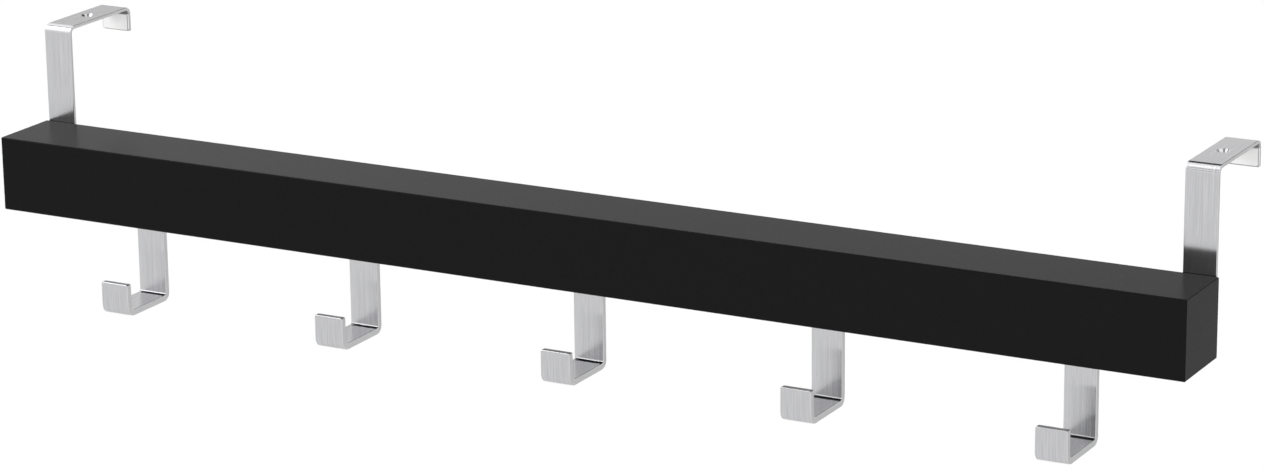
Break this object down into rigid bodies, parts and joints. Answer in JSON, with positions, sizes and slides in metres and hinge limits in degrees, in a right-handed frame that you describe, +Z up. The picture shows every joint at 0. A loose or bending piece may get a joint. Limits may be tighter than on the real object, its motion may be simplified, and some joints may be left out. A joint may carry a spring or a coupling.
{
  "type": "over door hook",
  "caption": "Black wooden rail that hangs over a door's top edge on two bent steel strips, with bent steel hooks under it.",
  "frame": {"origin": "on the door's top edge, in the middle of the gap between the strips' uprights and their lips, midway between the two screw holes over the door", "axes": "+X along the rail, to the right as seen from the hooks' side; +Y through the door, away from the hooks; +Z up"},
  "size_m": [0.6, 0.087, 0.1291],
  "materials": {
    "rail_wood": "satin",
    "strip_steel": "satin",
    "pad_plastic": "matte",
    "screw_steel": "satin"
  },
  "bodies": {
    "root": {"rail": "rail_wood", "bracket_left": "strip_steel", "bracket_right": "strip_steel", "pad_left": "pad_plastic", "pad_right": "pad_plastic", "hook_1": "strip_steel", "hook_2": "strip_steel", "hook_3": "strip_steel", "hook_4": "strip_steel", "hook_5": "strip_steel", "bracket_screws": "screw_steel", "hook_screws": "screw_steel"}
  },
  "joints": []
}
